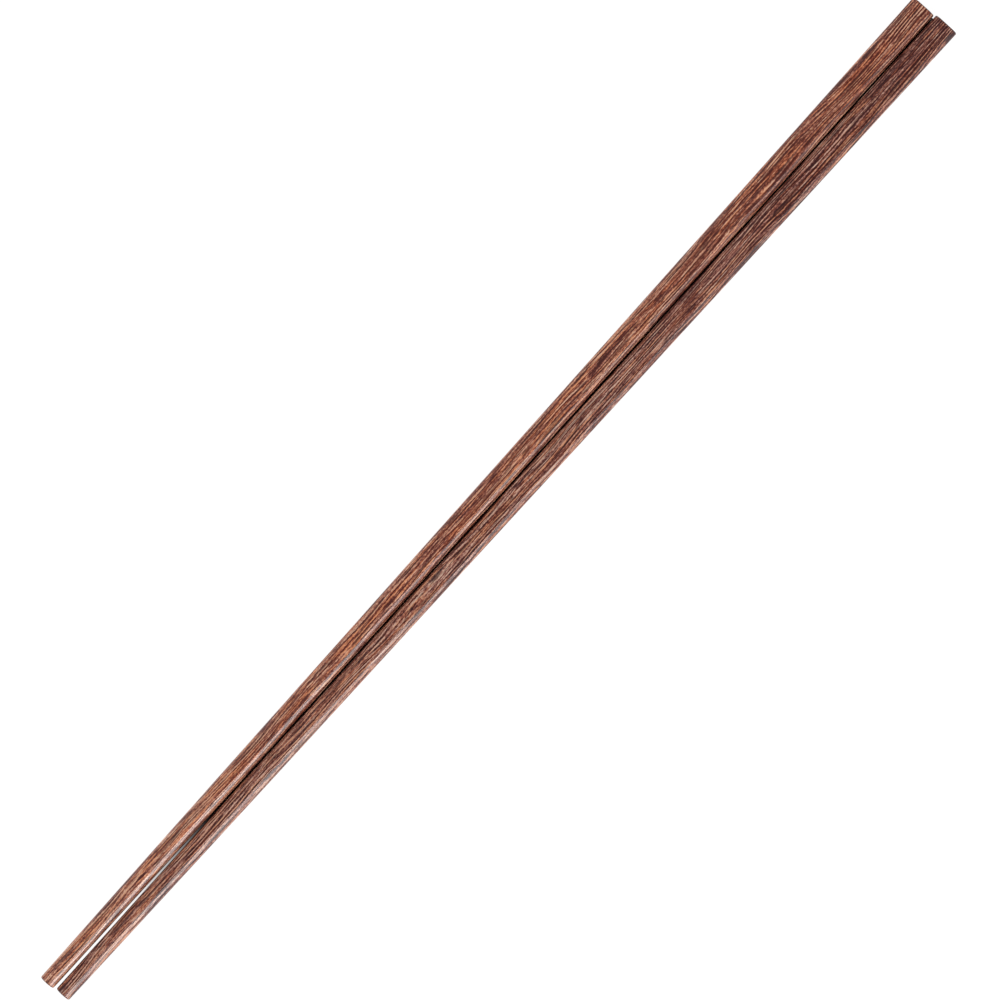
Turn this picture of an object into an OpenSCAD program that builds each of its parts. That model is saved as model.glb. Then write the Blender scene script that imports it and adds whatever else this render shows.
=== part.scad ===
// Pair of long cooking chopsticks, lying side by side on a table
// Each stick is one piece of hardwood. A square bar is planed to a straight taper on four sides, and is then
// turned about its length. The turning only eases the edges of the handle. From there to the tip it tapers
// faster than the bar, so the flats grow narrower and fade out just before the tip, which is round.
// X runs from the tips to the handles, Y across the pair and Z up from the table.

/* [Stick] */
// Length of a stick
stick_length = 420; // [300:1:460]
// Width across the flats at the handle end
handle_width = 8.8; // [7:0.1:11]
// Length of the square handle, where only the edges are eased
square_length = 80; // [20:1:220]
// Depth that the turning takes off each edge of the handle
edge_ease = 1; // [0.2:0.05:1.2]
// Diameter of the tip
tip_diameter = 5.4; // [4:0.1:6.5]
// How much wider the planed bar is than the tip that is turned from it
turning_allowance = 0.4; // [0.1:0.05:1]
// How the turning falls away from the handle. One would be a straight taper, and more keeps the middle fuller
turning_curve = 1.6; // [1.3:0.05:3]

/* [Ends] */
// Radius that rounds the rim of the tip
tip_round = 0.5; // [0.2:0.1:1.8]
// Chamfer round the handle end
end_chamfer = 0.4; // [0.1:0.05:1.2]

/* [Pair] */
// Gap between the two handle ends
handle_gap = 0.45; // [0.1:0.05:20]
// Gap between the two tips
tip_gap = 0.75; // [0.1:0.05:20]
// How far the right stick lies further along than the left one
end_offset = 0.6; // [0:0.1:20]

/* [Hidden] */
$fn = 96;

// How far the bar and the turning run on past each other's ends
spare = 1;
// Straight stretches that make up the turning's curve
turned_stretches = 7;

tip_r = tip_diameter / 2;
handle_half = handle_width / 2;

// Half the width of the planed bar at a distance from the tip
flat_slope = (handle_width - tip_diameter - turning_allowance) / 2 / stick_length;
function flat_half(along) = handle_half - flat_slope * (stick_length - along);

// Radius of the turning over the square handle, at a distance from the tip
function eased_r(along) = flat_half(along) * sqrt(2) - edge_ease;

// Radius of the turning below the square handle. It curves away from the eased edges, down to the tip
handle_start = stick_length - square_length;
turned_length = handle_start - tip_round;
turned_drop = eased_r(tip_round) - tip_r;
function turned_share(along) = max(0, (handle_start - along) / turned_length);
function turned_r(along) = eased_r(along) - turned_drop * pow(turned_share(along), turning_curve);

// Tilt that lays the lower flat on the table, and how high the middle of the tip then is
lay_angle = atan(flat_slope);
tip_height = flat_half(0) * cos(lay_angle);

// Each stick's middle, from the middle of the pair, and the angle at which the sticks fan out
tip_mid = (tip_gap + tip_diameter) / 2;
handle_mid = (handle_gap + handle_width) / 2;
lying_length = stick_length * cos(lay_angle);
fan_angle = asin((handle_mid - tip_mid) / lying_length);
lying_run = lying_length * cos(fan_angle);

// Outline of the planed bar, seen from the side, with its handle end chamfered
module bar_outline() {
  chamfer_start = stick_length - end_chamfer;
  side = [
    [flat_half(-spare), -spare],
    [flat_half(chamfer_start), chamfer_start],
    [handle_half - end_chamfer, stick_length],
  ];
  polygon([
    for (corner = side) corner,
    for (i = [len(side) - 1:-1:0]) [-side[i].x, side[i].y],
  ]);
}

// One pair of opposite flats, as a slab with the bar's outline
module planed_slab() {
  rotate([90, 0, 0]) linear_extrude(height = 2 * handle_width, center = true) bar_outline();
}

// Half section of the turning, with the rim of the tip rounded and the handle end chamfered
module turned_section() {
  rim_middle = tip_r - tip_round;
  chamfer_start = stick_length - end_chamfer;
  chamfer_depth = end_chamfer + spare;
  polygon([
    [0, 0],
    [rim_middle, 0],
    [rim_middle, tip_round],
    for (i = [0:turned_stretches])
      let (along = tip_round + turned_length * i / turned_stretches) [turned_r(along), along],
    [eased_r(chamfer_start), chamfer_start],
    [eased_r(chamfer_start) - chamfer_depth, chamfer_start + chamfer_depth],
    [0, chamfer_start + chamfer_depth],
  ]);
  intersection() {
    translate([rim_middle, tip_round]) circle(r = tip_round);
    translate([rim_middle, -spare]) square([tip_round + spare, tip_round + spare]);
  }
}

// One stick, standing on its tip along Z
module stick() {
  intersection() {
    planed_slab();
    rotate([0, 0, 90]) planed_slab();
    rotate_extrude() turned_section();
  }
}

// Lays a stick on the table on its lower flat. Side is 1 for the left stick and -1 for the right one, as seen
// from the tips
module laid(side) {
  translate([-(lying_run + side * end_offset) / 2, side * tip_mid, tip_height])
    rotate([0, 0, side * fan_angle])
      rotate([0, 90 - lay_angle, 0]) children();
}

module left_chopstick() {
  color("#84523f") laid(1) stick();
}

module right_chopstick() {
  color("#71493d") laid(-1) stick();
}

left_chopstick();
right_chopstick();
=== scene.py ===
"""Pair of long cooking chopsticks in oiled hardwood, lying side by side on a sheet of opal acrylic.

Each stick is one piece of wood: planed square, turned down to a round tip, sanded along the grain and oiled.
The two are cut from a lighter and a darker blank of the same wood.
"""
import logging
import math
from dataclasses import dataclass, field
from enum import Enum
from typing import Any, ClassVar

import bmesh
import bpy
from mathutils import Euler, Matrix, Vector, noise


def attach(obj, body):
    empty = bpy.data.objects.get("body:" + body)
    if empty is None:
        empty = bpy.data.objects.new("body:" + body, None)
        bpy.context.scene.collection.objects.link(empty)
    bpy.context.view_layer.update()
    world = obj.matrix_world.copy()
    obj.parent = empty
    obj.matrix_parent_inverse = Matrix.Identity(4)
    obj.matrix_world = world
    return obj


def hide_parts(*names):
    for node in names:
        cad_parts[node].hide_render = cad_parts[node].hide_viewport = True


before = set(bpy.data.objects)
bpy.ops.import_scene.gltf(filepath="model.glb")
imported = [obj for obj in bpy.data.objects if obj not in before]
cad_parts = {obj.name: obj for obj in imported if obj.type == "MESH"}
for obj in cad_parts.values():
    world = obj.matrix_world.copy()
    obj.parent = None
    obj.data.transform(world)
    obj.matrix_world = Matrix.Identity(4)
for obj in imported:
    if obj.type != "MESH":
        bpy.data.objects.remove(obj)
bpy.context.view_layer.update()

MM = 0.001
WHITE = "ffffff"
LOG = logging.getLogger("chopsticks")

# Sockets of a Mix node that mixes colours, by number because their names repeat
FIRST_COLOUR = 6
SECOND_COLOUR = 7
MIXED_COLOUR = 2


class Side(Enum):
    """The two sticks of the pair, as seen from their tips."""

    LEFT = "left"
    RIGHT = "right"

    @property
    def node(self) -> str:
        """Name of the stick's solid in the frame."""
        return f"{self.value}_chopstick"


def linear(hex_colour: str) -> tuple[float, float, float, float]:
    """Turn an sRGB hex colour into a linear one.

    Args:
        hex_colour: Six hex digits, such as "84523f".

    Returns:
        Red, green, blue and an alpha of one, in linear light.
    """
    channels = []
    for start in (0, 2, 4):
        value = int(hex_colour[start:start + 2], 16) / 255
        channels.append(value / 12.92 if value <= 0.04045 else ((value + 0.055) / 1.055) ** 2.4)
    return (channels[0], channels[1], channels[2], 1.0)


def add_node(tree: bpy.types.NodeTree, kind: str, inputs: dict[Any, Any] | None = None,
             **settings: Any) -> bpy.types.Node:
    """Add a node with its settings and links.

    Args:
        tree: Node tree that gets the node.
        kind: Blender's name for the type of node.
        inputs: Socket names or numbers, each with a value, or with an output socket to link from.
        settings: Properties of the node itself.

    Returns:
        The new node.
    """
    node = tree.nodes.new(kind)
    for name, value in settings.items():
        setattr(node, name, value)
    for socket, value in (inputs or {}).items():
        if isinstance(value, bpy.types.NodeSocket):
            tree.links.new(value, node.inputs[socket])
        else:
            node.inputs[socket].default_value = value
    return node


def new_material(name: str) -> tuple[bpy.types.Material, bpy.types.NodeTree]:
    """Make a material with an empty node tree.

    Args:
        name: Name of the material.

    Returns:
        The material and its node tree.
    """
    material = bpy.data.materials.new(name)
    material.use_nodes = True
    material.node_tree.nodes.clear()
    return material, material.node_tree


@dataclass(frozen=True)
class AxisLine:
    """Middle line of a stick, from the tip to the handle end, measured on its solid in the frame."""

    tip: Vector
    handle: Vector

    @classmethod
    def of_node(cls, name: str, face_depth: float = 0.05 * MM) -> "AxisLine":
        """Measure the line between the middles of a stick's two end faces.

        Args:
            name: Name of the stick's node.
            face_depth: How far from the furthest point a point still belongs to the end face.

        Returns:
            The stick's middle line.
        """
        points = [vertex.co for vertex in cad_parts[name].data.vertices]
        low = min(point.x for point in points)
        high = max(point.x for point in points)
        ends = []
        for face in (
            [point for point in points if point.x < low + face_depth],
            [point for point in points if point.x > high - face_depth],
        ):
            lowest = Vector(min(point[axis] for point in face) for axis in range(3))
            highest = Vector(max(point[axis] for point in face) for axis in range(3))
            ends.append((lowest + highest) / 2)
        return cls(*ends)

    @property
    def length(self) -> float:
        """Length of the stick."""
        return (self.handle - self.tip).length

    def placing(self) -> Matrix:
        """Matrix from the stick's own space, with X along it from the tip and Z up, to the frame."""
        along = (self.handle - self.tip).normalized()
        across = Vector((0, 0, 1)).cross(along).normalized()
        up = along.cross(across)
        turn = Matrix((along, across, up)).transposed().to_4x4()
        return Matrix.Translation(self.tip) @ turn

    def flat_half(self, along: float) -> float:
        """Half the width of the planed bar. The stick lies on a flat, so that is its axis's height.

        Args:
            along: Distance from the tip.

        Returns:
            Distance from the axis to a flat.
        """
        rise = (self.handle.z - self.tip.z) / self.length
        level = math.sqrt(1 - rise * rise)
        return (self.tip.z + rise * along) / level


@dataclass(frozen=True)
class GrainLayer:
    """One scale of the wood's figure, as noise drawn out along the stick.

    Attributes:
        length: Length of a streak in millimetres.
        width: Width of a streak in millimetres.
        depth: Size of a streak across its width in millimetres.
        weight: How much it counts, in the wood's tone, in the pores' colour or as millimetres of drift.
        detail: Octaves of finer streaks within it.
    """

    length: float
    width: float
    depth: float
    weight: float = 1.0
    detail: float = 0.0


@dataclass(frozen=True)
class OiledHardwood:
    """Dense tropical hardwood such as wenge, planed and turned, sanded along the grain and rubbed with oil.

    It gives the eye fine dark and light streaks along the stick, thin dark pores, slow changes of tone, and
    a satin gloss that the pores and fibres break into streaks. On the ends the same grain shows as dots.

    Attributes:
        name: Name of the material.
        shades: Hex colours from the darkest fibres to the lightest ones.
        pore: Hex colour of the open pores.
        warm: Hex colour that some long streaks lean to.
        gloss: Specular level of the oiled surface.
        fade: Fall of the tone from tip to handle: the timber's own, and partly painted sheen on the tips.
        fade_curve: How late it falls, where one would be evenly along the stick.
        ring_angle: Turn of the growth layers about the stick's length, in degrees.
        shift: Where in the timber the stick was cut, in millimetres.
    """

    name: str
    shades: tuple[str, ...]
    pore: str
    warm: str
    gloss: float
    fade: float
    fade_curve: float
    ring_angle: float
    shift: tuple[float, float, float]

    # Single fibres are too fine to show in the picture, so the thinnest streaks are bundles of them, drawn as
    # coarse as they need to be to show.
    LAYERS: ClassVar[tuple[GrainLayer, ...]] = (
        GrainLayer(length=160, width=4, depth=8, weight=0.3, detail=1),
        GrainLayer(length=60, width=0.5, depth=0.7, weight=1.5, detail=1),
        GrainLayer(length=18, width=0.38, depth=0.44, weight=2.2, detail=2),
        GrainLayer(length=4, width=0.3, depth=0.3, weight=1.0),
        GrainLayer(length=0.8, width=0.28, depth=0.28, weight=1.1),
        GrainLayer(length=1.1, width=6, depth=6, weight=0.15, detail=1),
    )
    # Distance in the timber from one layer to the next, in millimetres, so that they differ
    LAYER_STEP: ClassVar[float] = 7.0
    # Growth layers, as soft bands, and how far and how finely they wander
    BANDS: ClassVar[GrainLayer] = GrainLayer(length=40, width=2.9, depth=2.9, weight=0.55, detail=2)
    BAND_WANDER: ClassVar[float] = 3.6
    BAND_WANDER_SCALE: ClassVar[float] = 1.6
    # Slow wander of the whole grain from the stick's own line
    DRIFTS: ClassVar[tuple[GrainLayer, ...]] = (
        GrainLayer(length=70, width=14, depth=14, weight=2.5, detail=1),
        GrainLayer(length=36, width=6, depth=6, weight=1.1, detail=1),
    )
    # Open pores and warm streaks, and the stretch of their noise over which they set in
    PORES: ClassVar[GrainLayer] = GrainLayer(length=16, width=0.28, depth=0.28, weight=0.7)
    PORE_SPAN: ClassVar[tuple[float, float]] = (0.54, 0.68)
    WARMTH: ClassVar[GrainLayer] = GrainLayer(length=24, width=0.6, depth=0.8, detail=1)
    WARM_SPAN: ClassVar[tuple[float, float]] = (0.42, 0.60)
    # How squarely a face has to meet the grain to be end grain, and how far the oil darkens it there
    END_SPAN: ClassVar[tuple[float, float]] = (0.15, 0.7)
    END_SOAK: ClassVar[float] = 0.6
    # Middle of the noise's values, and how much each finer octave keeps of the one before
    NOISE_MIDDLE: ClassVar[float] = 0.5
    FINER_SHARE: ClassVar[float] = 0.6
    # Roughness of light fibres and of dark ones, and what a pore adds to it
    GLOSS_ROUGHNESS: ClassVar[float] = 0.31
    DULL_ROUGHNESS: ClassVar[float] = 0.36
    PORE_ROUGHNESS: ClassVar[float] = 0.05
    OIL_IOR: ClassVar[float] = 1.5
    # Height of the fibres' relief in millimetres
    RELIEF: ClassVar[float] = 0.003

    def build(self, axis: AxisLine) -> bpy.types.Material:
        """Make the material for one stick.

        Args:
            axis: Middle line of the stick, which the grain follows.

        Returns:
            The finished material.
        """
        material, tree = new_material(self.name)
        place = axis.placing()
        spot = add_node(tree, "ShaderNodeTexCoord")
        own = add_node(tree, "ShaderNodeMapping", {
            "Vector": spot.outputs["Object"],
            "Location": place.to_translation(),
            "Rotation": place.to_euler(),
            "Scale": (MM, MM, MM),
        }, vector_type="TEXTURE")
        along = add_node(tree, "ShaderNodeSeparateXYZ", {0: own.outputs["Vector"]})
        share = add_node(tree, "ShaderNodeMath", {
            0: along.outputs["X"],
            1: MM / axis.length,
        }, operation="MULTIPLY")
        grain = self._drifted(tree, own.outputs["Vector"])
        tone = self._tone(tree, grain, share.outputs[0])
        pores = self._pores(tree, grain)
        colour = self._colour(tree, grain, tone, pores)
        soaked = self._soaked(tree, axis, colour)
        self._surface(tree, tone, pores, soaked)
        return material

    def _drifted(self, tree: bpy.types.NodeTree, own: bpy.types.NodeSocket) -> bpy.types.NodeSocket:
        """Let the grain wander a little from the stick's own line.

        Args:
            tree: The material's node tree.
            own: Millimetres in the stick's own space.

        Returns:
            Millimetres in the timber, with X along the grain.
        """
        cut = add_node(tree, "ShaderNodeVectorMath", {0: own, 1: self.shift}, operation="ADD").outputs[0]
        grain = cut
        for drift in self.DRIFTS:
            wander = self._streaks(tree, cut, drift)
            either_way = add_node(tree, "ShaderNodeVectorMath", {
                0: wander.outputs["Color"],
                1: (self.NOISE_MIDDLE, self.NOISE_MIDDLE, self.NOISE_MIDDLE),
            }, operation="SUBTRACT")
            spread = drift.weight / self.NOISE_MIDDLE
            grain = add_node(tree, "ShaderNodeVectorMath", {
                0: either_way.outputs[0],
                1: (0.0, spread, spread),
                2: grain,
            }, operation="MULTIPLY_ADD").outputs[0]
        return grain

    def _cells(self, tree: bpy.types.NodeTree, grain: bpy.types.NodeSocket, layer: GrainLayer,
               offset: float = 0.0) -> bpy.types.NodeSocket:
        """Turn millimetres in the timber into the cells of one layer.

        Args:
            tree: The material's node tree.
            grain: Millimetres in the timber.
            layer: Size of the cells.
            offset: Where in the timber the layer is cut, in millimetres.

        Returns:
            Numbers of cells along, across and down.
        """
        return add_node(tree, "ShaderNodeMapping", {
            "Vector": grain,
            "Location": (offset, offset, offset),
            "Rotation": (math.radians(self.ring_angle), 0.0, 0.0),
            "Scale": (layer.length, layer.width, layer.depth),
        }, vector_type="TEXTURE").outputs["Vector"]

    def _streaks(self, tree: bpy.types.NodeTree, grain: bpy.types.NodeSocket, layer: GrainLayer,
                 offset: float = 0.0) -> bpy.types.Node:
        """Draw the streaks of one layer.

        Args:
            tree: The material's node tree.
            grain: Millimetres in the timber.
            layer: Size and detail of the streaks.
            offset: Where in the timber the layer is cut, in millimetres.

        Returns:
            The noise node.
        """
        return add_node(tree, "ShaderNodeTexNoise", {
            "Vector": self._cells(tree, grain, layer, offset),
            "Scale": 1.0,
            "Detail": layer.detail,
            "Roughness": self.FINER_SHARE,
        })

    def _tone(self, tree: bpy.types.NodeTree, grain: bpy.types.NodeSocket,
              share: bpy.types.NodeSocket) -> bpy.types.NodeSocket:
        """Add up the layers of the figure.

        Args:
            tree: The material's node tree.
            grain: Millimetres in the timber.
            share: How far along the stick a point lies, from 0 at the tip to 1 at the handle end.

        Returns:
            Tone of the wood, about 0 where it is dark and 1 where it is light.
        """
        total = sum(layer.weight for layer in (*self.LAYERS, self.BANDS))
        # Lighter tips: the timber's own tone and, on the lighter blank, partly painted sheen
        mean_fade = self.fade / (1 + self.fade_curve)
        later = add_node(tree, "ShaderNodeMath", {0: share, 1: self.fade_curve}, operation="POWER")
        tone = add_node(tree, "ShaderNodeMath", {
            0: later.outputs[0],
            1: -self.fade,
            2: self.NOISE_MIDDLE + mean_fade - self.NOISE_MIDDLE * total,
        }, operation="MULTIPLY_ADD").outputs[0]
        bands = add_node(tree, "ShaderNodeTexWave", {
            "Vector": self._cells(tree, grain, self.BANDS),
            "Scale": 1.0,
            "Distortion": self.BAND_WANDER,
            "Detail": self.BANDS.detail,
            "Detail Scale": self.BAND_WANDER_SCALE,
        }, wave_type="BANDS", bands_direction="Y", wave_profile="SIN")
        tone = add_node(tree, "ShaderNodeMath", {
            0: bands.outputs["Fac"],
            1: self.BANDS.weight,
            2: tone,
        }, operation="MULTIPLY_ADD").outputs[0]
        for number, layer in enumerate(self.LAYERS):
            streaks = self._streaks(tree, grain, layer, offset=self.LAYER_STEP * number)
            tone = add_node(tree, "ShaderNodeMath", {
                0: streaks.outputs["Fac"],
                1: layer.weight,
                2: tone,
            }, operation="MULTIPLY_ADD").outputs[0]
        return tone

    def _pores(self, tree: bpy.types.NodeTree, grain: bpy.types.NodeSocket) -> bpy.types.NodeSocket:
        """Scatter the open pores, which are thin lines along the grain.

        Args:
            tree: The material's node tree.
            grain: Millimetres in the timber.

        Returns:
            How far a point lies in a pore, from 0 to 1.
        """
        lines = self._streaks(tree, grain, self.PORES, offset=-self.LAYER_STEP)
        return add_node(tree, "ShaderNodeMapRange", {
            "Value": lines.outputs["Fac"],
            "From Min": self.PORE_SPAN[0],
            "From Max": self.PORE_SPAN[1],
        }, interpolation_type="SMOOTHSTEP").outputs["Result"]

    def _colour(self, tree: bpy.types.NodeTree, grain: bpy.types.NodeSocket, tone: bpy.types.NodeSocket,
                pores: bpy.types.NodeSocket) -> bpy.types.NodeSocket:
        """Give the tone its shades, the warm streaks their hue and the pores their colour.

        Args:
            tree: The material's node tree.
            grain: Millimetres in the timber.
            tone: Tone of the wood, from dark to light.
            pores: How far a point lies in a pore.

        Returns:
            Colour of the wood along the stick.
        """
        ramp = add_node(tree, "ShaderNodeValToRGB", {"Fac": tone})
        stops = ramp.color_ramp.elements
        last = len(self.shades) - 1
        for number in range(1, last):
            stops.new(number / last)
        for stop, shade in zip(stops, self.shades):
            stop.color = linear(shade)
        streaks = self._streaks(tree, grain, self.WARMTH, offset=-2 * self.LAYER_STEP)
        warm_share = add_node(tree, "ShaderNodeMapRange", {
            "Value": streaks.outputs["Fac"],
            "From Min": self.WARM_SPAN[0],
            "From Max": self.WARM_SPAN[1],
        })
        warmed = add_node(tree, "ShaderNodeMix", {
            "Factor": warm_share.outputs["Result"],
            FIRST_COLOUR: ramp.outputs["Color"],
            SECOND_COLOUR: linear(self.warm),
        }, data_type="RGBA", blend_type="MULTIPLY")
        pore_share = add_node(tree, "ShaderNodeMath", {0: pores, 1: self.PORES.weight}, operation="MULTIPLY")
        return add_node(tree, "ShaderNodeMix", {
            "Factor": pore_share.outputs[0],
            FIRST_COLOUR: warmed.outputs[MIXED_COLOUR],
            SECOND_COLOUR: linear(self.pore),
        }, data_type="RGBA").outputs[MIXED_COLOUR]

    def _soaked(self, tree: bpy.types.NodeTree, axis: AxisLine,
                colour: bpy.types.NodeSocket) -> bpy.types.NodeSocket:
        """Darken the end grain, which drinks more oil.

        Args:
            tree: The material's node tree.
            axis: Middle line of the stick.
            colour: Colour of the wood along the stick.

        Returns:
            Colour of the wood with its ends.
        """
        spot = add_node(tree, "ShaderNodeTexCoord")
        facing = add_node(tree, "ShaderNodeVectorMath", {
            0: spot.outputs["Normal"],
            1: (axis.handle - axis.tip).normalized(),
        }, operation="DOT_PRODUCT")
        either_end = add_node(tree, "ShaderNodeMath", {0: facing.outputs["Value"]}, operation="ABSOLUTE")
        ends = add_node(tree, "ShaderNodeMapRange", {
            "Value": either_end.outputs[0],
            "From Min": self.END_SPAN[0],
            "From Max": self.END_SPAN[1],
        }, interpolation_type="SMOOTHSTEP")
        end_share = add_node(tree, "ShaderNodeMath", {
            0: ends.outputs["Result"],
            1: self.END_SOAK,
        }, operation="MULTIPLY")
        return add_node(tree, "ShaderNodeMix", {
            "Factor": end_share.outputs[0],
            FIRST_COLOUR: colour,
            SECOND_COLOUR: linear(self.pore),
        }, data_type="RGBA").outputs[MIXED_COLOUR]

    def _surface(self, tree: bpy.types.NodeTree, tone: bpy.types.NodeSocket, pores: bpy.types.NodeSocket,
                 colour: bpy.types.NodeSocket) -> None:
        """Give the wood its gloss and its relief, which are both broken by fibres and pores.

        Args:
            tree: The material's node tree.
            tone: Tone of the wood, from dark to light.
            pores: How far a point lies in a pore.
            colour: Colour of the wood.
        """
        fibres = add_node(tree, "ShaderNodeMapRange", {
            "Value": tone,
            "To Min": self.DULL_ROUGHNESS,
            "To Max": self.GLOSS_ROUGHNESS,
        })
        rough = add_node(tree, "ShaderNodeMath", {
            0: pores,
            1: self.PORE_ROUGHNESS,
            2: fibres.outputs["Result"],
        }, operation="MULTIPLY_ADD")
        height = add_node(tree, "ShaderNodeMath", {0: tone, 1: pores}, operation="SUBTRACT")
        relief = add_node(tree, "ShaderNodeBump", {
            "Strength": 1.0,
            "Distance": self.RELIEF * MM,
            "Height": height.outputs[0],
        })
        oiled = add_node(tree, "ShaderNodeBsdfPrincipled", {
            "Base Color": colour,
            "Roughness": rough.outputs[0],
            "IOR": self.OIL_IOR,
            "Specular IOR Level": self.gloss,
            "Normal": relief.outputs["Normal"],
        })
        add_node(tree, "ShaderNodeOutputMaterial", {"Surface": oiled.outputs["BSDF"]})


# Warm mid browns with a clear satin gloss
LIGHTER_BLANK = OiledHardwood(
    name="oiled_hardwood_lighter",
    shades=("451e1a", "65362e", "865546", "aa755f", "c29a82"),
    pore="341814",
    warm="ffdec2",
    gloss=0.4,
    # Its fade lightens the tips partly as painted sheen
    fade=0.24,
    fade_curve=1.0,
    ring_angle=12,
    shift=(0, 40, 25),
)
# Deeper and cooler browns, darkest towards the handle, with a fainter gloss
DARKER_BLANK = OiledHardwood(
    name="oiled_hardwood_darker",
    shades=("341617", "522d29", "794e45", "9b6f61", "b69584"),
    pore="241114",
    warm="ffdec2",
    gloss=0.31,
    fade=0.32,
    fade_curve=2.5,
    ring_angle=-16,
    shift=(700, 15, 60),
)


@dataclass
class Chopstick:
    """One stick: a bar planed to a taper on four sides, then turned about its length down to a round tip.

    Attributes:
        side: Which stick of the pair it is.
        slot: The record's material slot for this stick; not used.
        finish: The wood it is cut from.
        seed: Start of its own small unevenness.
        square_length: Length of the square handle, where the turning only eases the edges.
        edge_ease: Depth that the turning takes off each edge of the handle.
        turning_curve: How the turning falls away from the handle, where one would be a straight taper.
        tip_diameter: Diameter of the tip.
        tip_round: Radius that rounds the rim of the tip.
        end_round: Radius that rounds the rim of the handle end.
        end_inset: How far in from its rim the flat middle of an end face begins.
        tip_softness: How far sanding softens the line between a flat and the turning, at the tip.
        handle_softness: The same at the handle.
        softened_share: Share of the stick's length by which it is as soft as at the handle.
        edge_wander: How far an eased edge wanders in and out along the stick.
        wander_length: Length over which it wanders.
        hollow: Depth of the shallow hollows that sanding leaves.
        hollow_length: Length of such a hollow.
        hollow_circle: Radius of a ring's path through the hollows' noise, where more gives more hollows.
        ring_spacing: Distance between the rings of the mesh.
        sides: Vertices in a ring.
        rim_steps: Rings that round each rim.
        axis: The stick's middle line in the frame.
    """

    side: Side
    slot: str
    finish: OiledHardwood
    seed: float
    square_length: float = 80 * MM
    edge_ease: float = 1 * MM
    turning_curve: float = 1.6
    tip_diameter: float = 5.4 * MM
    tip_round: float = 0.5 * MM
    end_round: float = 0.4 * MM
    end_inset: float = 0.15 * MM
    tip_softness: float = 0.03 * MM
    handle_softness: float = 0.12 * MM
    softened_share: float = 0.5
    edge_wander: float = 0.10 * MM
    wander_length: float = 40 * MM
    hollow: float = 0.02 * MM
    hollow_length: float = 25 * MM
    hollow_circle: float = 2.0
    ring_spacing: float = 2 * MM
    sides: int = 192
    rim_steps: int = 6
    axis: AxisLine = field(init=False)

    # Step in the noise from one edge to the next, so that each wanders by itself
    EDGE_STEP: ClassVar[float] = 3.7

    def __post_init__(self) -> None:
        """Measure the stick's middle line in the frame."""
        self.axis = AxisLine.of_node(self.side.node)

    def eased_radius(self, along: float) -> float:
        """Radius of the turning where it only eases the edges, at a distance from the tip."""
        return self.axis.flat_half(along) * math.sqrt(2) - self.edge_ease

    def turned_radius(self, along: float) -> float:
        """Work out the radius of the turning.

        Args:
            along: Distance from the tip.

        Returns:
            The radius, which falls away from the eased edges of the handle in a curve down to the tip.
        """
        handle_start = self.axis.length - self.square_length
        drop = self.eased_radius(self.tip_round) - self.tip_diameter / 2
        share = max(0.0, (handle_start - along) / (handle_start - self.tip_round))
        return self.eased_radius(along) - drop * min(share, 1.0) ** self.turning_curve

    def reach(self, along: float, angle: float, inset: float) -> float:
        """Work out how far the surface is from the axis.

        Args:
            along: Distance from the tip.
            angle: Direction about the axis, in radians.
            inset: How far the section is drawn in at a rounded rim.

        Returns:
            Distance from the axis: the lesser of the flats and the turning, with the line between softened.
        """
        share = along / self.axis.length
        edge = math.floor(angle / (math.pi / 2))
        wander = noise.noise(Vector((along / self.wander_length, edge * self.EDGE_STEP, self.seed)))
        turned = self.turned_radius(along) - inset
        turned += self.edge_wander * share * wander * math.sin(2 * angle) ** 2
        flat = (self.axis.flat_half(along) - inset) / max(abs(math.cos(angle)), abs(math.sin(angle)))
        handle_share = min(1.0, share / self.softened_share)
        softness = self.tip_softness + (self.handle_softness - self.tip_softness) * handle_share
        softened = min(flat, turned) - softness * math.log1p(math.exp(-abs(flat - turned) / softness))
        across = self.hollow_circle * math.cos(angle)
        up = self.hollow_circle * math.sin(angle)
        spot = Vector((along / self.hollow_length, across, up + self.seed))
        return softened - self.hollow * (1 + noise.noise(spot)) / 2

    def stations(self) -> list[tuple[float, float]]:
        """List the rings from the tip to the handle end.

        Returns:
            Distances from the tip, each with how far the section is drawn in there.
        """
        length = self.axis.length
        tip, end = [], []
        for step in range(self.rim_steps):
            turn = math.pi / 2 * step / self.rim_steps
            back, inset = 1 - math.cos(turn), 1 - math.sin(turn)
            tip.append((self.tip_round * back, self.tip_round * inset))
            end.append((length - self.end_round * back, self.end_round * inset))
        run = length - self.tip_round - self.end_round
        steps = round(run / self.ring_spacing)
        body = [(self.tip_round + run * step / steps, 0.0) for step in range(steps + 1)]
        return tip + body + end[::-1]

    def shape_ring(self, ring: list[bmesh.types.BMVert], along: float, inset: float) -> None:
        """Move a ring of vertices to the stick's section.

        Args:
            ring: Vertices, each already in its direction from the axis.
            along: Distance from the tip.
            inset: How far the section is drawn in at a rounded rim.
        """
        for vertex in ring:
            angle = math.atan2(vertex.co.z, vertex.co.y)
            reach = self.reach(along, angle, inset)
            vertex.co = Vector((along, reach * math.cos(angle), reach * math.sin(angle)))

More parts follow.
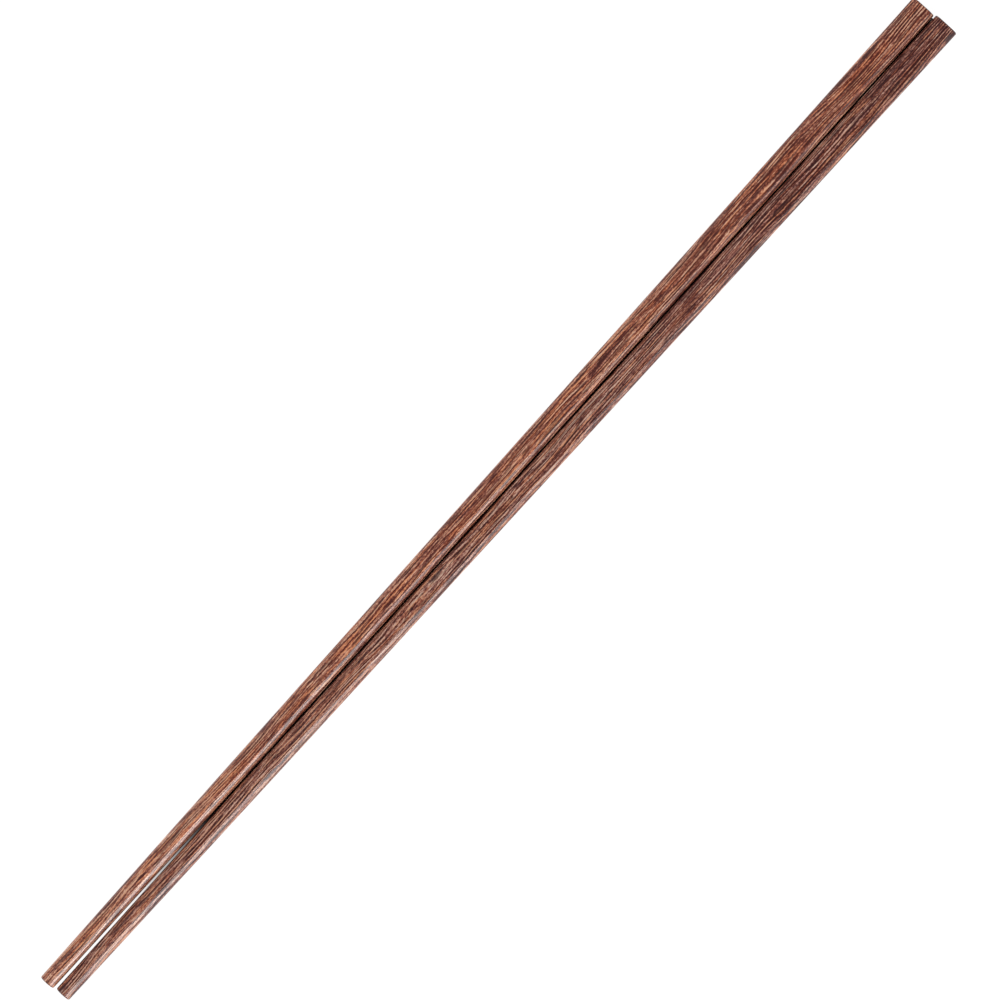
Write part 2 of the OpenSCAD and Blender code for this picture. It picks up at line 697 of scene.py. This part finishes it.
    def build(self) -> bpy.types.Object:
        """Model the stick, ring by ring from the tip, and lay it in its place.

        Returns:
            The finished object, dressed and riding on the frame.
        """
        bm = bmesh.new()
        upright = Matrix.Rotation(math.pi / 2, 4, "Z") @ Matrix.Rotation(math.pi / 2, 4, "X")
        circle = bmesh.ops.create_circle(bm, segments=self.sides, radius=self.tip_diameter, matrix=upright)
        rim = bm.edges[:]
        first, *others = self.stations()
        self.shape_ring(circle["verts"], *first)
        bmesh.ops.contextual_create(bm, geom=rim)
        for along, inset in others:
            grown = bmesh.ops.extrude_edge_only(bm, edges=rim)["geom"]
            ring = [part for part in grown if isinstance(part, bmesh.types.BMVert)]
            known = set(ring)
            edges = [part for part in grown if isinstance(part, bmesh.types.BMEdge)]
            rim = [edge for edge in edges if known.issuperset(edge.verts)]
            self.shape_ring(ring, along, inset)
        bmesh.ops.contextual_create(bm, geom=rim)
        bmesh.ops.recalc_face_normals(bm, faces=bm.faces)
        ends = [face for face in bm.faces if len(face.verts) == self.sides]
        bmesh.ops.inset_individual(bm, faces=ends, thickness=self.end_inset, depth=0.0)
        bmesh.ops.transform(bm, matrix=self.axis.placing(), verts=bm.verts)
        mesh = bpy.data.meshes.new(f"{self.side.value}_stick")
        bm.to_mesh(mesh)
        bm.free()
        mesh.shade_smooth()
        stick = bpy.data.objects.new(mesh.name, mesh)
        bpy.context.scene.collection.objects.link(stick)
        return self.dress(stick)

    def dress(self, stick: bpy.types.Object) -> bpy.types.Object:
        """Give the stick its wood and tie it to the frame.

        Args:
            stick: The modelled stick.

        Returns:
            The same object.
        """
        stick.data.materials.append(self.finish.build(self.axis))
        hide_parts(self.side.node)
        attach(stick, "root")
        return stick


@dataclass(frozen=True)
class SoftLight:
    """A large soft light in a studio, seen from the object as a patch of sky.

    Attributes:
        name: Name of the light.
        azimuth: Direction from the object, in degrees from +X towards +Y.
        elevation: Height of its middle above the horizon, in degrees.
        width: Angle that it spans from side to side, in degrees.
        height: Angle that it spans from bottom to top, in degrees.
        radiance: Its power in watts over its area and over pi.
        distance: Distance from the object.
    """

    name: str
    azimuth: float
    elevation: float
    width: float
    height: float
    radiance: float
    distance: float = 4.0

    def build(self) -> bpy.types.Object:
        """Hang the light and turn it to the object.

        Returns:
            The light's object.
        """
        turn = math.radians(self.azimuth)
        rise = math.radians(self.elevation)
        away = Vector((math.cos(turn) * math.cos(rise), math.sin(turn) * math.cos(rise), math.sin(rise)))
        lamp = bpy.data.lights.new(self.name, "AREA")
        lamp.shape = "RECTANGLE"
        lamp.size = 2 * self.distance * math.tan(math.radians(self.width / 2))
        lamp.size_y = 2 * self.distance * math.tan(math.radians(self.height / 2))
        lamp.energy = self.radiance * math.pi * lamp.size * lamp.size_y
        light = bpy.data.objects.new(self.name, lamp)
        light.location = away * self.distance
        light.rotation_euler = (-away).to_track_quat("-Z", "Y").to_euler()
        bpy.context.scene.collection.objects.link(light)
        return light


@dataclass(frozen=True)
class Studio:
    """The glowing white floor, the soft lights round it and the camera above.

    Attributes:
        lights: The soft lights.
        sky: Brightness of the room round them.
        floor_size: Width of the floor.
        floor_colour: Hex colour of the floor's own face.
        floor_glow: Brightness with which the light below shines through the floor.
        tip_glow: The same between the tips, before the painted shade begins.
        painted_shade_start: Where along the sticks the painted shade begins, a strip where the floor does not
            glow.
        painted_shade_end: Where that strip of painted shade ends.
        painted_shade_blend: Length over which the glow fades into the painted shade at its beginning.
        painted_shade_half: Half the width of that strip of painted shade, which the sticks lie on.
        picture_width: Width of what the camera sees on the object.
        picture_height: Height above the floor at which that width is meant.
        turn: Angle in degrees by which the sticks run anticlockwise from the picture's right.
        aim: Point on the floor below the camera.
        distance: Distance of the camera.
    """

    lights: tuple[SoftLight, ...]
    sky: float = 0.14
    floor_size: float = 40.0
    floor_colour: str = "5a5a5a"
    floor_glow: float = 0.95
    tip_glow: float = 1.0
    painted_shade_start: float = -158 * MM
    painted_shade_end: float = 209.5 * MM
    painted_shade_blend: float = 46 * MM
    painted_shade_half: float = 4 * MM
    picture_width: float = 320.0 * MM
    picture_height: float = 5 * MM
    turn: float = 47.87
    aim: tuple[float, float] = (1.78 * MM, -0.77 * MM)
    distance: float = 2.0

    def build(self) -> None:
        """Set up the floor, the lights, the room and the camera."""
        self.build_floor()
        for light in self.lights:
            light.build()
        world = bpy.data.worlds.new("studio")
        world.use_nodes = True
        backdrop = world.node_tree.nodes["Background"]
        backdrop.inputs["Color"].default_value = linear(WHITE)
        backdrop.inputs["Strength"].default_value = self.sky
        bpy.context.scene.world = world
        bpy.context.scene.view_settings.view_transform = "Standard"
        self.build_camera()

    def build_floor(self) -> None:
        """Lay the floor, a large sheet of acrylic with light below it."""
        bm = bmesh.new()
        bmesh.ops.create_grid(bm, x_segments=1, y_segments=1, size=self.floor_size / 2)
        mesh = bpy.data.meshes.new("floor")
        bm.to_mesh(mesh)
        bm.free()
        mesh.materials.append(self.build_acrylic())
        floor = bpy.data.objects.new("floor", mesh)
        bpy.context.scene.collection.objects.link(floor)

    def build_acrylic(self) -> bpy.types.Material:
        """Make glowing opal acrylic with painted shade under the sticks, not between their tips.

        Returns:
            The floor's material.
        """
        # Opal acrylic, cast and rubbed matt: it spreads the light below to an even white and mirrors nothing
        material, tree = new_material("matt_opal_acrylic")
        spot = add_node(tree, "ShaderNodeTexCoord")
        axes = add_node(tree, "ShaderNodeSeparateXYZ", {0: spot.outputs["Object"]})
        # Painted shade: no glow in a strip under the sticks, so the slit between them stays dark
        aside = add_node(tree, "ShaderNodeMath", {0: axes.outputs["Y"]}, operation="ABSOLUTE")
        beside = add_node(tree, "ShaderNodeMath", {
            0: aside.outputs[0],
            1: self.painted_shade_half,
        }, operation="GREATER_THAN")
        past = add_node(tree, "ShaderNodeMath", {
            0: axes.outputs["X"],
            1: self.painted_shade_end,
        }, operation="GREATER_THAN")
        beyond = add_node(tree, "ShaderNodeMath", {
            0: beside.outputs[0],
            1: past.outputs[0],
        }, operation="MAXIMUM")
        within = add_node(tree, "ShaderNodeMapRange", {
            "Value": axes.outputs["X"],
            "From Min": self.painted_shade_start - self.painted_shade_blend / 2,
            "From Max": self.painted_shade_start + self.painted_shade_blend / 2,
            "To Min": self.tip_glow,
            "To Max": 0.0,
        }, interpolation_type="SMOOTHSTEP")
        glow = add_node(tree, "ShaderNodeMix", {
            "Factor": beyond.outputs[0],
            "A": within.outputs["Result"],
            "B": self.floor_glow,
        })
        acrylic = add_node(tree, "ShaderNodeBsdfPrincipled", {
            "Base Color": linear(self.floor_colour),
            "Roughness": 1.0,
            "Specular IOR Level": 0.0,
            "Emission Color": linear(WHITE),
            "Emission Strength": glow.outputs["Result"],
        })
        add_node(tree, "ShaderNodeOutputMaterial", {"Surface": acrylic.outputs["BSDF"]})
        return material

    def build_camera(self) -> None:
        """Hang the camera straight above the sticks, turned as the photograph was."""
        lens = bpy.data.cameras.new("camera")
        lens.lens = lens.sensor_width * self.distance / self.picture_width
        camera = bpy.data.objects.new("camera", lens)
        camera.location = (self.aim[0], self.aim[1], self.distance + self.picture_height)
        camera.rotation_euler = Euler((0.0, 0.0, -math.radians(self.turn)))
        bpy.context.scene.collection.objects.link(camera)
        bpy.context.scene.camera = camera


STICKS = (
    Chopstick(side=Side.LEFT, slot="lighter_hardwood", finish=LIGHTER_BLANK, seed=2.3),
    Chopstick(side=Side.RIGHT, slot="darker_hardwood", finish=DARKER_BLANK, seed=8.9),
)
STUDIO = Studio(lights=(
    SoftLight("side_light", azimuth=-102, elevation=26, width=12, height=42, radiance=25.0),
    SoftLight("near_tip_light", azimuth=-135, elevation=20, width=36, height=26, radiance=1.2),
    SoftLight("far_tip_light", azimuth=135, elevation=26, width=36, height=36, radiance=5.0),
    SoftLight("near_handle_light", azimuth=-45, elevation=20, width=36, height=26, radiance=1.2),
    SoftLight("far_handle_light", azimuth=45, elevation=26, width=36, height=36, radiance=5.0),
))


def main() -> None:
    """Build the studio and both sticks."""
    logging.basicConfig(level=logging.INFO, format="%(name)s: %(message)s")
    STUDIO.build()
    for stick in STICKS:
        piece = stick.build()
        LOG.info("%s: %d faces, %.1f mm long", piece.name, len(piece.data.polygons), stick.axis.length / MM)


if __name__ == "__main__":
    main()
